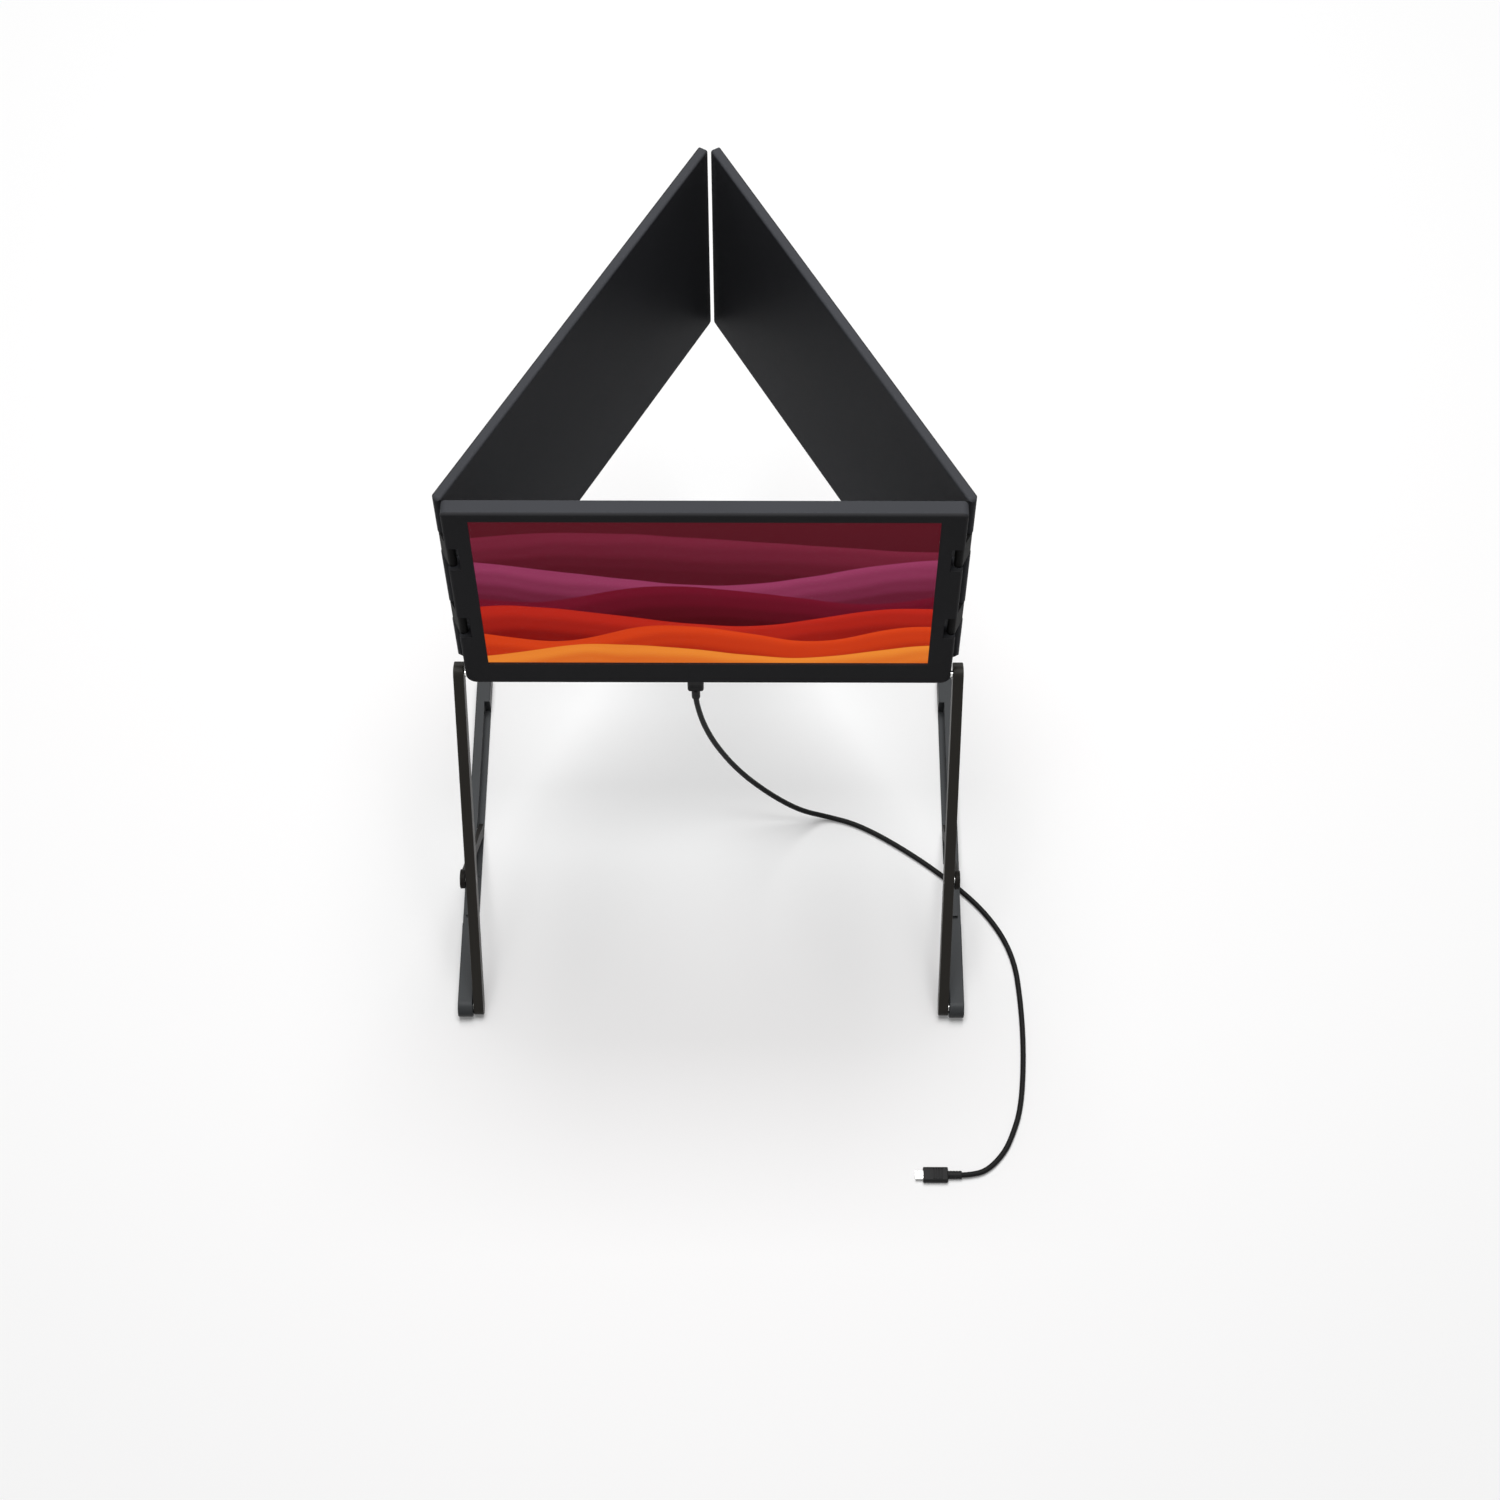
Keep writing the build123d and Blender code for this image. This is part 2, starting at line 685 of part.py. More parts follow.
arm_along = (0, cos(radians(arm_angle)), sin(radians(arm_angle)))
arm_plane = across(arm_inner, foot_pivot_y, pivot_z, arm_along)
arm_face = across(arm_outer, foot_pivot_y, pivot_z, arm_along)
with BuildPart() as arm:
    with BuildSketch(arm_plane):
        with Locations((arm_length / 2, 0)):
            SlotCenterToCenter(arm_length, arm_depth)
        # The upper end is square behind its pivot
        with Locations((arm_length, -arm_depth / 4)):
            Rectangle(arm_depth, arm_depth / 2)
        fillet(vertices().sort_by(Axis((0, 0, 0), (1, -1, 0)))[-1], arm_heel_round)
    extrude(amount=arm_thick)
    fillet(arm.faces().sort_by(Axis.X)[0].edges(), arm_edge_round)
    fillet(arm.faces().sort_by(Axis.X)[-1].edges(), arm_edge_round)
    with BuildSketch(arm_plane):
        with Locations((0, 0), (strut_along_arm, 0), (arm_length, 0)):
            Circle(pivot_pin_radius + seat_gap)
    extrude(amount=arm_thick, mode=Mode.SUBTRACT)
    with BuildSketch(arm_plane):
        with Locations((0, 0), (strut_along_arm, 0)):
            Circle(pivot_head_radius + seat_gap)
    extrude(amount=pivot_head_thick, mode=Mode.SUBTRACT)
    with BuildSketch(arm_face):
        with Locations((arm_length, 0)):
            Circle(pivot_head_radius + seat_gap)
    extrude(amount=-pivot_head_thick, mode=Mode.SUBTRACT)
write_pair(arm, "leg_arm")

foot_plane = across(foot_inner, foot_pivot_y, pivot_z)
bar_end = foot_length - foot_radius
bar_bottom = -foot_radius


def foot_cut(start, end, low, high):
    """Draw a rectangle on the foot bar's inner face, from start to end along it."""
    with Locations(((start + end) / 2, (low + high) / 2)):
        Rectangle(end - start, high - low)


with BuildPart() as foot:
    with BuildSketch(foot_plane):
        with Locations((bar_end / 2, 0)):
            SlotCenterToCenter(bar_end, foot_height)
    extrude(amount=foot_width)
    fillet(foot.faces().sort_by(Axis.X)[0].edges(), foot_edge_round)
    fillet(foot.faces().sort_by(Axis.X)[-1].edges(), foot_edge_round)
    # Recess that takes the strut when the leg is folded, with a ledge under it that clears its head
    with BuildSketch(foot_plane):
        foot_cut(recess_start, recess_end, bar_bottom + ledge_thick, foot_radius)
        with Locations((strut_along_arm, 0)):
            Circle(strut_head_radius + head_gap)
    extrude(amount=recess_depth, mode=Mode.SUBTRACT)
    with BuildSketch(across(foot_inner + recess_depth, foot_pivot_y, pivot_z)):
        foot_cut(groove_start, groove_end, -groove_below, groove_above)
    extrude(amount=groove_depth, mode=Mode.SUBTRACT)
    # Finger step along the outer edge, open to the recess at its front end
    with BuildSketch(plan(pivot_z + foot_radius - step_depth)):
        with Locations((foot_outer - step_width / 2, foot_pivot_y + (recess_start + step_end) / 2)):
            Rectangle(step_width, step_end - recess_start)
        with Locations((foot_inner + foot_width / 2, foot_pivot_y + recess_start + step_cross / 2)):
            Rectangle(foot_width, step_cross)
    extrude(amount=step_depth, mode=Mode.SUBTRACT)
    # Pockets for the rubber pads
    with BuildSketch(plan(pad_proud)):
        for middle, length in pad_places.values():
            with Locations((foot_inner + foot_width / 2, foot_pivot_y + middle)):
                SlotOverall(length, pad_width, rotation=90)
    extrude(amount=pad_thick - pad_proud, mode=Mode.SUBTRACT)
    # Through bore for the pivot pin, with a counterbore for its outer head
    with BuildSketch(foot_plane):
        Circle(pivot_pin_radius + running_gap)
    extrude(amount=foot_width, mode=Mode.SUBTRACT)
    with BuildSketch(across(foot_outer, foot_pivot_y, pivot_z)):
        Circle(pivot_head_radius + head_gap)
    extrude(amount=-pivot_head_thick - 2 * head_gap, mode=Mode.SUBTRACT)
with BuildPart() as left_foot:
    add(foot.part)
    mirror(about=Plane.YZ, mode=Mode.REPLACE)
write(left_foot.part, "left_foot_bar")

# Relief under the right bar, through which the cable passes
with foot:
    with BuildSketch(foot_plane):
        foot_cut(relief_start, relief_end, bar_bottom, bar_bottom + relief_height)
        fillet(vertices().group_by(Axis.Y)[-1], relief_height / 2)
    extrude(amount=foot_width, mode=Mode.SUBTRACT)
write(foot.part, "right_foot_bar")

with BuildPart() as pads:
    with BuildSketch(plan(0)):
        for middle, length in pad_places.values():
            with Locations((foot_inner + foot_width / 2, foot_pivot_y + middle)):
                SlotOverall(length - 2 * head_gap, pad_width - 2 * head_gap, rotation=90)
    extrude(amount=pad_thick)
write_pair(pads, "foot_pads")

knob_y = foot_pivot_y + strut_along_arm * cos(radians(arm_angle))
knob_z = pivot_z + strut_along_arm * sin(radians(arm_angle))
strut_along = (0, cos(radians(strut_drop)), -sin(radians(strut_drop)))
strut_plane = across(strut_inner, knob_y, knob_z, strut_along)
strut_face = across(strut_inner + strut_thick, knob_y, knob_z, strut_along)
with BuildPart() as strut:
    with BuildSketch(strut_plane):
        Circle(strut_head_radius)
        with Locations((strut_length / 2, 0)):
            Rectangle(strut_length, strut_width)
        with Locations((strut_length, 0)):
            Circle(strut_foot_radius)
    extrude(amount=strut_thick)
    fillet(strut.faces().sort_by(Axis.X)[-1].edges(), strut_edge_round)
    with BuildSketch(strut_plane):
        Circle(pivot_pin_radius + running_gap)
        with Locations((strut_length, 0)):
            Circle(slide_pin_radius + seat_gap)
    extrude(amount=strut_thick, mode=Mode.SUBTRACT)
    with BuildSketch(strut_face):
        Circle(pivot_head_radius + head_gap)
    extrude(amount=-strut_rivet_thick - head_gap, mode=Mode.SUBTRACT)
write_pair(strut, "strut")

with BuildPart() as slide_pin:
    with BuildSketch(across(strut_inner + 1.4, foot_pivot_y, pivot_z)):
        with Locations((slide_open, 0)):
            Circle(slide_pin_radius)
    extrude(amount=slide_pin_length)
write_pair(slide_pin, "strut_slide_pin")

with BuildPart() as foot_pin:
    with BuildSketch(across(arm_inner, foot_pivot_y, pivot_z)):
        Circle(pivot_head_radius)
    extrude(amount=pivot_head_thick)
    with BuildSketch(across(arm_inner, foot_pivot_y, pivot_z)):
        Circle(pivot_pin_radius)
    extrude(amount=foot_outer - arm_inner)
    with BuildSketch(across(foot_outer, foot_pivot_y, pivot_z)):
        Circle(pivot_head_radius)
    extrude(amount=-pivot_head_thick)
write_pair(foot_pin, "foot_pivot_pin")

strut_outer = strut_inner + strut_thick
with BuildPart() as strut_pin:
    with BuildSketch(across(arm_inner, knob_y, knob_z)):
        Circle(pivot_head_radius)
    extrude(amount=pivot_head_thick)
    with BuildSketch(across(arm_inner, knob_y, knob_z)):
        Circle(pivot_pin_radius)
    extrude(amount=strut_outer - arm_inner)
    with BuildSketch(across(strut_outer, knob_y, knob_z)):
        Circle(pivot_head_radius)
    extrude(amount=-strut_rivet_thick)
write_pair(strut_pin, "strut_pivot_pin")

pin_inner = bush_end - bush_length - pivot_head_thick - washer_gap
with BuildPart() as panel_pin:
    with BuildSketch(across(pin_inner, top_pivot_y, top_pivot_z)):
        Circle(pivot_head_radius)
    extrude(amount=pivot_head_thick)
    with BuildSketch(across(pin_inner, top_pivot_y, top_pivot_z)):
        Circle(pivot_pin_radius)
    extrude(amount=arm_outer - pin_inner)
    with BuildSketch(across(arm_outer, top_pivot_y, top_pivot_z)):
        Circle(pivot_head_radius)
    extrude(amount=-pivot_head_thick)
write_pair(panel_pin, "panel_pivot_pin")

# One washer in each of the leg's three gaps: at the screen, at the foot and at the strut
washers = [
    (centre_side, arm_inner, top_pivot_y, top_pivot_z),
    (arm_outer, foot_inner, foot_pivot_y, pivot_z),
    (arm_outer, strut_inner, knob_y, knob_z),
]
with BuildPart() as leg_washers:
    for start, end, y, z in washers:
        with BuildSketch(across(start + washer_gap, y, z)):
            Circle(washer_radius)
            Circle(pivot_pin_radius + seat_gap, mode=Mode.SUBTRACT)
        extrude(amount=end - start - 2 * washer_gap)
write_pair(leg_washers, "leg_washers")

# Cable: plug in the socket, strain relief, free cable, strain relief, far plug


def plug_shell(face):
    """The metal tongue cover of a plug, standing on its face."""
    with BuildPart() as shell:
        with BuildSketch(face):
            SlotOverall(shell_width, shell_thick)
        extrude(amount=shell_length)
        with BuildSketch(face.offset(0.6)):
            Rectangle(
                shell_width - shell_thick / 2 - shell_wall, shell_thick - 2 * shell_wall
            )
        extrude(amount=shell_length, mode=Mode.SUBTRACT)
    return shell


def plug_body(face, width, thick, length):
    """A moulded plug body that reaches back from its front face."""
    with BuildPart() as body:
        with BuildSketch(face):
            RectangleRounded(width, thick, plug_round)
        extrude(amount=-length)
        fillet(body.edges().filter_by(Plane(face.origin, z_dir=face.z_dir)), 0.8)
    return body


def strain_relief(face, length, radius):
    """A slightly tapered collar between a plug body and the cable."""
    with BuildPart() as relief:
        with BuildSketch(face):
            Circle(radius)
        with BuildSketch(face.offset(-length)):
            Circle(radius - relief_taper)
        loft()
    return relief


panel_plug_z = centre_bottom - plug_gap
panel_plug_face = Plane(origin=(port_x, screen_y, panel_plug_z), x_dir=(1, 0, 0), z_dir=(0, 0, 1))
write(plug_shell(panel_plug_face).part, "panel_plug_shell")
write(plug_body(panel_plug_face, plug_width, plug_thick, plug_length).part, "panel_plug_body")
panel_relief_face = panel_plug_face.offset(-plug_length)
write(strain_relief(panel_relief_face, panel_relief_length, relief_radius).part, "panel_plug_relief")

far_plug_face = Plane(
    origin=(far_plug_end[0], far_plug_end[1], plug_thick / 2), x_dir=(0, -1, 0), z_dir=(-1, 0, 0)
)
write(plug_shell(far_plug_face).part, "far_plug_shell")
write(plug_body(far_plug_face, plug_width, plug_thick, far_plug_length).part, "far_plug_body")
far_relief_face = far_plug_face.offset(-far_plug_length)
write(strain_relief(far_relief_face, far_relief_length, relief_radius).part, "far_plug_relief")

# The free cable starts and ends on the strain reliefs' faces
cable_start = panel_relief_face.offset(-panel_relief_length).origin
cable_end = far_relief_face.offset(-far_relief_length).origin
route = [cable_start, cable_start - Vector(0, 0, panel_lead)]
route += [Vector(*p) for p in cable_bends]
route += [cable_end + Vector(far_lead, 0, 0), cable_end]
runs = [b - a for a, b in zip(route, route[1:])]
bend_radii = []
for before, after in zip(runs, runs[1:]):
    turn = radians(before.get_angle(after))
    bend_radii.append(0.45 * min(before.length, after.length) / tan(turn / 2))
with BuildPart() as cable:
    with BuildLine() as cable_line:
        FilletPolyline(*route, radius=bend_radii)
    with BuildSketch(Plane(origin=cable_start, z_dir=cable_line.line % 0)):
        Circle(cable_radius)
    sweep()
write(cable.part, "cable")
cable_length = cable_line.wires()[0].length
print("bend radii", [round(r, 1) for r in bend_radii])
print("cable", round(cable_length, 1), "long, volume over section times length",
      round(cable.part.volume / (pi * cable_radius**2 * cable_length), 4))
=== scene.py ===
import bpy, bmesh, math
from mathutils import Matrix, Vector


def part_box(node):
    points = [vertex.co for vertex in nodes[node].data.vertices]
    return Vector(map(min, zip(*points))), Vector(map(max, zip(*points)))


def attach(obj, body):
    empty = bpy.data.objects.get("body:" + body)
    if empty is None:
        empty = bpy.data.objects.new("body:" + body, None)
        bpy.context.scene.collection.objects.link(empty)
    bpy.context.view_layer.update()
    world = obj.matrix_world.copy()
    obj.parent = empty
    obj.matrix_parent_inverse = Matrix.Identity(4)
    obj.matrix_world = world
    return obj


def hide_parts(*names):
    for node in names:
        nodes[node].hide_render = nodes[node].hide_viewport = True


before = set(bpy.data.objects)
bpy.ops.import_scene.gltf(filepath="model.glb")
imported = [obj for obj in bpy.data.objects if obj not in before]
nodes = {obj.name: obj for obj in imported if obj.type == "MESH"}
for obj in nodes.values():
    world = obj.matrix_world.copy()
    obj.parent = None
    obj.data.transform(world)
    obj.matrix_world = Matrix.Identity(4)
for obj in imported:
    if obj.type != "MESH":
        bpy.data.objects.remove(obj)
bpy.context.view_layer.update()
print("frame loaded:", len(nodes), "solids")


def screenColour(red, green, blue):
    # eight bit screen values to the linear colour a shader takes
    def linear(value):
        value /= 255
        return value / 12.92 if value <= 0.04045 else ((value + 0.055) / 1.055) ** 2.4
    return (linear(red), linear(green), linear(blue), 1.0)


class Wire:
    # an output of a finish's nodes, so that patterns are written as plain sums
    def __init__(self, finish, socket):
        self.finish, self.socket = finish, socket

    def maths(self, operation, *values):
        return self.finish.add("ShaderNodeMath", {"operation": operation}, dict(enumerate(values)))

    def __add__(self, other):
        return self.maths("ADD", self, other)

    def __sub__(self, other):
        return self.maths("SUBTRACT", self, other)

    def __mul__(self, other):
        return self.maths("MULTIPLY", self, other)

    def __truediv__(self, other):
        return self.maths("DIVIDE", self, other)

    def __rsub__(self, other):
        return self.maths("SUBTRACT", other, self)

    __radd__ = __add__
    __rmul__ = __mul__

    def wave(self):
        return self.maths("SINE", self)

    def limited(self):
        return self.finish.add("ShaderNodeClamp", {}, {"Value": self})


class Finish:
    # a material, with one method that adds any node and a few shorthands for the common ones
    def __init__(self, name):
        self.material = bpy.data.materials.new(name)
        self.material.use_nodes = True
        self.tree = self.material.node_tree
        self.tree.nodes.clear()
        self.out = self.tree.nodes.new("ShaderNodeOutputMaterial")
        self.place = self.add("ShaderNodeTexCoord", {}, {}, "Object")

    def add(self, kind, settings, inputs, output=0):
        node = self.tree.nodes.new(kind)
        for key, value in settings.items():
            if key == "stops":
                ramp = node.color_ramp
                for extra in range(len(value) - 2):
                    ramp.elements.new(0.5)
                for element, (position, colour) in zip(ramp.elements, value):
                    element.position, element.color = position, colour
            else:
                setattr(node, key, value)
        for key, value in inputs.items():
            if isinstance(value, Wire):
                self.tree.links.new(value.socket, node.inputs[key])
            else:
                node.inputs[key].default_value = value
        return Wire(self, node.outputs[output])

    def noise(self, scale, detail=2.0, stretch=None):
        place = self.place
        if stretch:
            place = self.add("ShaderNodeMapping", {}, {"Vector": place, **stretch})
        return self.add("ShaderNodeTexNoise", {}, {"Vector": place, "Scale": scale, "Detail": detail,
                                                   "Roughness": 0.5})

    def mixed(self, share, first, second):
        return self.add("ShaderNodeMix", {"data_type": "RGBA"}, {0: share, 6: first, 7: second}, 2)

    def bump(self, height, depth, strength):
        return self.add("ShaderNodeBump", {}, {"Height": height, "Distance": depth,
                                               "Strength": strength})

    def surface(self, **inputs):
        names = {key.replace("_", " "): value for key, value in inputs.items()}
        shader = self.add("ShaderNodeBsdfPrincipled", {}, names)
        self.tree.links.new(shader.socket, self.out.inputs["Surface"])
        return self.material


def dress(material, *names):
    for name in names:
        mesh = nodes[name].data
        mesh.materials.clear()
        mesh.materials.append(material)


def both(*names):
    return [side + name for side in ("right_", "left_") for name in names]


def finished(name, mesh, body, material, smooth=True):
    # a new piece whose place is in its mesh, riding on one of the moving bodies
    data = bpy.data.meshes.new(name)
    mesh.to_mesh(data)
    mesh.free()
    for face in data.polygons:
        face.use_smooth = smooth
    piece = bpy.data.objects.new(name, data)
    bpy.context.scene.collection.objects.link(piece)
    data.materials.append(material)
    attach(piece, body)
    return piece


# Camera: well above the table, looking down at the screens' front

cameraSetup = {"place": (0.037965, -1.277205, 2.205285), "turn": 0.246, "tilt": 30.292, "roll": -0.088,
               "lens": 67.903, "sensor": 36.0, "near": 0.05, "far": 50.0}
cameraData = bpy.data.cameras.new("camera")
cameraData.lens, cameraData.sensor_width = cameraSetup["lens"], cameraSetup["sensor"]
cameraData.clip_start, cameraData.clip_end = cameraSetup["near"], cameraSetup["far"]
camera = bpy.data.objects.new("camera", cameraData)
camera.location = cameraSetup["place"]
camera.rotation_euler = (Matrix.Rotation(math.radians(cameraSetup["turn"]), 4, "Z")
                         @ Matrix.Rotation(math.radians(cameraSetup["tilt"]), 4, "X")
                         @ Matrix.Rotation(math.radians(cameraSetup["roll"]), 4, "Z")).to_euler()
bpy.context.scene.collection.objects.link(camera)
bpy.context.scene.camera = camera
bpy.context.scene.view_settings.view_transform = "Standard"
print("camera set")


# Cable: a round sheath with one soft S and a wide turn to its far plug

cableFacts = {"diameter": 0.0046, "length": 0.7339, "route": [
    (-0.0105, -0.09156, 0.26035), (-0.0105, -0.09156, 0.25235), (-0.0054, -0.0879, 0.211),
    (0.0053, -0.0818, 0.1635), (0.0241, -0.0742, 0.1082), (0.0502, -0.0684, 0.0593),
    (0.0768, -0.0647, 0.024), (0.1005, -0.0588, 0.0029), (0.1286, -0.0668, 0.00235),
    (0.1654, -0.0893, 0.00235), (0.2048, -0.1199, 0.00235), (0.2402, -0.1555, 0.00235),
    (0.261, -0.1955, 0.00235), (0.2653, -0.2418, 0.00235), (0.2656, -0.2891, 0.00235),
    (0.2613, -0.3369, 0.00235), (0.2528, -0.363, 0.00235), (0.2446, -0.3794, 0.00235),
    (0.23, -0.3946, 0.0026), (0.2151, -0.3982, 0.0031), (0.2091, -0.3982, 0.0031)]}


def cableFinish():
    finish = Finish("cableSheath")
    fine = finish.noise(2600, 2.0)
    broad = finish.noise(60, 2.0)
    colour = finish.mixed(broad, screenColour(17, 17, 17), screenColour(25, 25, 25))
    return finish.surface(Base_Color=colour, Roughness=0.46 + 0.12 * fine,
                          Specular_IOR_Level=0.10, Normal=finish.bump(fine, 0.00006, 0.5))


cableCurve = bpy.data.curves.new("cable", "CURVE")
cableCurve.dimensions = "3D"
cableCurve.bevel_depth = cableFacts["diameter"] / 2
cableCurve.bevel_resolution = 5
cableCurve.resolution_u = 10
cableCurve.use_fill_caps = True
cableLine = cableCurve.splines.new("NURBS")
cableLine.points.add(len(cableFacts["route"]) - 1)
for point, spot in zip(cableLine.points, cableFacts["route"]):
    point.co = (*spot, 1.0)
cableLine.order_u = 3
cableLine.use_endpoint_u = True
cablePiece = bpy.data.objects.new("cableSheath", cableCurve)
bpy.context.scene.collection.objects.link(cablePiece)
cableCurve.materials.append(cableFinish())
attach(cablePiece, "screen")
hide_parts("cable")
print("cable laid")


# Plugs: moulded bodies with grip grooves, and ringed strain reliefs

def mouldingFinish():
    finish = Finish("plugMoulding")
    fine = finish.noise(1900, 3.0)
    colour = finish.mixed(finish.noise(90, 2.0), screenColour(30, 30, 30), screenColour(38, 38, 39))
    return finish.surface(Base_Color=colour, Roughness=0.40 + 0.15 * fine,
                          Specular_IOR_Level=0.10, Normal=finish.bump(fine, 0.00008, 0.5))


mouldingMaterial = mouldingFinish()
plugFacts = {"width": 0.013, "thick": 0.0062, "corner": 0.0022, "rim": 0.0008, "grooves": 4,
             "groovePitch": 0.0022, "grooveWidth": 0.0012, "grooveDepth": 0.0003, "grooveEdge": 0.0003,
             "grooveFrom": 0.0082}


def plugMoulding(name, length, place):
    # built with its mouth at the origin and its tail towards -Z, then moved to its place
    facts = plugFacts
    mesh = bmesh.new()
    bmesh.ops.create_cube(mesh, size=1.0, matrix=Matrix.Translation((0, 0, -length / 2))
                          @ Matrix.Diagonal((facts["width"], facts["thick"], length, 1)))
    long = [e for e in mesh.edges if abs(e.verts[0].co.z - e.verts[1].co.z) > length / 2]
    bmesh.ops.bevel(mesh, geom=long, offset=facts["corner"], segments=6, profile=0.5,
                    affect="EDGES", material=-1)
    rims = [e for e in mesh.edges if abs(e.verts[0].co.z - e.verts[1].co.z) < 1e-7]
    bmesh.ops.bevel(mesh, geom=rims, offset=facts["rim"], segments=3, profile=0.5,
                    affect="EDGES", material=-1)
    for groove in range(facts["grooves"]):
        low = -facts["grooveFrom"] - groove * facts["groovePitch"]
        for height in (low, low - facts["grooveWidth"]):
            bmesh.ops.bisect_plane(mesh, geom=mesh.verts[:] + mesh.edges[:] + mesh.faces[:],
                                   plane_co=(0, 0, height), plane_no=(0, 0, 1))
        middle = low - facts["grooveWidth"] / 2
        strips = [f for f in mesh.faces if abs(f.normal.y) > 0.99
                  and abs(f.calc_center_median().z - middle) < facts["grooveWidth"] / 4]
        bmesh.ops.inset_individual(mesh, faces=strips, thickness=facts["grooveEdge"],
                                   depth=-facts["grooveDepth"])
    bmesh.ops.recalc_face_normals(mesh, faces=mesh.faces)
    bmesh.ops.transform(mesh, matrix=place, verts=mesh.verts)
    return finished(name, mesh, "screen", mouldingMaterial, smooth=False)


reliefFacts = {"radius": 0.0035, "taper": 0.0001, "mouth": 0.0005, "ringFrom": 0.0008, "ringPitch": 0.0026,
               "ringsSpare": 0.0016, "slope": 0.0001, "slot": 0.0005, "slotDeep": 0.0003,
               "tailRadius": 0.0034, "tailRound": 0.0005, "tailEnd": 0.0031, "steps": 32}


def strainRelief(name, length, place):
    # a sleeve with a few rings, its wide end at the origin and its tail towards -Z
    facts = reliefFacts
    rings = max(2, int(length / facts["ringPitch"]))
    profile = [(0.0, 0.0), (facts["radius"], 0.0), (facts["radius"], -facts["mouth"])]
    for ring in range(rings):
        top = facts["ringFrom"] + ring * (length - facts["ringsSpare"]) / rings
        wide = facts["radius"] - facts["taper"] * top / length
        narrow = wide - facts["slotDeep"]
        profile += [(wide, -top), (narrow, -top - facts["slope"]), (narrow, -top - facts["slot"]),
                    (wide, -top - facts["slot"] - facts["slope"])]
    profile += [(facts["tailRadius"], facts["tailRound"] - length), (facts["tailEnd"], -length),
                (0.0, -length)]
    mesh = bmesh.new()
    points = [mesh.verts.new((radius, 0, height)) for radius, height in profile]
    edges = [mesh.edges.new(pair) for pair in zip(points, points[1:])]
    bmesh.ops.spin(mesh, geom=points + edges, cent=(0, 0, 0), axis=(0, 0, 1),
                   angle=math.tau, steps=facts["steps"], use_merge=True)
    bmesh.ops.remove_doubles(mesh, verts=mesh.verts, dist=1e-6)
    bmesh.ops.recalc_face_normals(mesh, faces=mesh.faces)
    bmesh.ops.transform(mesh, matrix=place, verts=mesh.verts)
    return finished(name, mesh, "screen", mouldingMaterial, smooth=False)


panelPlugFacts = {"length": 0.0175, "relief": 0.013,
                  "place": Matrix.Translation((-0.0105, -0.09156, 0.29085))}
farPlugFacts = {"length": 0.0207, "relief": 0.0114,
                "place": Matrix.Translation((0.177, -0.3982, 0.0031))
                @ Matrix.Rotation(math.radians(-90), 4, "Y") @ Matrix.Rotation(math.radians(90), 4, "Z")}


def leadEnd(name, facts):
    # one end of the lead: its moulded plug, and the sleeve where the cable comes out
    tail = facts["place"] @ Matrix.Translation((0, 0, -facts["length"]))
    return (plugMoulding(name + "Moulding", facts["length"], facts["place"]),
            strainRelief(name + "Relief", facts["relief"], tail))


panelPlug, panelRelief = leadEnd("panelPlug", panelPlugFacts)
farPlug, farRelief = leadEnd("farPlug", farPlugFacts)
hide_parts("panel_plug_body")
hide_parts("panel_plug_relief")
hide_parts("far_plug_body")
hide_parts("far_plug_relief")
print("plugs moulded")


# Finishes of the carried pieces

def casePlastic(name, low, high, roughness, grain=1500):
    # black moulded plastic with an even spark-eroded grain
    finish = Finish(name)
    fine = finish.noise(grain, 3.0)
    broad = finish.noise(14, 2.0)
    colour = finish.mixed(broad, screenColour(*low), screenColour(*high))
    return finish.surface(Base_Color=colour, Roughness=roughness + 0.10 * fine + 0.05 * broad,
                          Specular_IOR_Level=0.02, Normal=finish.bump(fine, 0.00010, 0.45))


def legAluminium(name, low, high, roughness, turn, sheen=0.12):
    # anodised bar with a faint drawn grain along its length
    finish = Finish(name)
    drawn = finish.noise(1.0, 3.0, {"Rotation": (math.radians(turn), 0, 0), "Scale": (2400, 60, 2400)})
    cloud = finish.noise(22, 2.0)
    colour = finish.mixed(0.6 * drawn + 0.4 * cloud, screenColour(*low), screenColour(*high))
    return finish.surface(Base_Color=colour, Metallic=0.1, Roughness=roughness + 0.10 * drawn,
                          Specular_IOR_Level=sheen, Normal=finish.bump(drawn, 0.00004, 0.35))


def turnedSteel(name, colour, roughness):
    finish = Finish(name)
    marks = finish.noise(1.0, 2.0, {"Scale": (5200, 900, 900)})
    tint = finish.mixed(marks, screenColour(*[round(c * 0.86) for c in colour]), screenColour(*colour))
    return finish.surface(Base_Color=tint, Metallic=1.0, Roughness=roughness + 0.12 * marks,
                          Normal=finish.bump(marks, 0.00003, 0.4))


def rubberFinish():
    finish = Finish("padRubber")
    fine = finish.noise(1400, 3.0)
    return finish.surface(Base_Color=finish.mixed(fine, screenColour(30, 30, 30), screenColour(42, 42, 42)),
                          Roughness=0.72 + 0.15 * fine, Normal=finish.bump(fine, 0.00012, 0.6))


def boardFinish():
    # green mask over etched tracks
    finish = Finish("boardMask")
    tracks = finish.add("ShaderNodeTexBrick", {"offset": 0.5}, {
        "Vector": finish.place, "Scale": 260.0, "Mortar Size": 0.012,
        "Color1": (0, 0, 0, 1), "Color2": (0, 0, 0, 1), "Mortar": (1, 1, 1, 1)}, "Color")
    fine = finish.noise(300, 2.0)
    colour = finish.mixed(tracks, screenColour(16, 74, 44), screenColour(34, 104, 62))
    return finish.surface(Base_Color=colour, Roughness=0.35 + 0.15 * fine,
                          Normal=finish.bump(fine, 0.00005, 0.3))


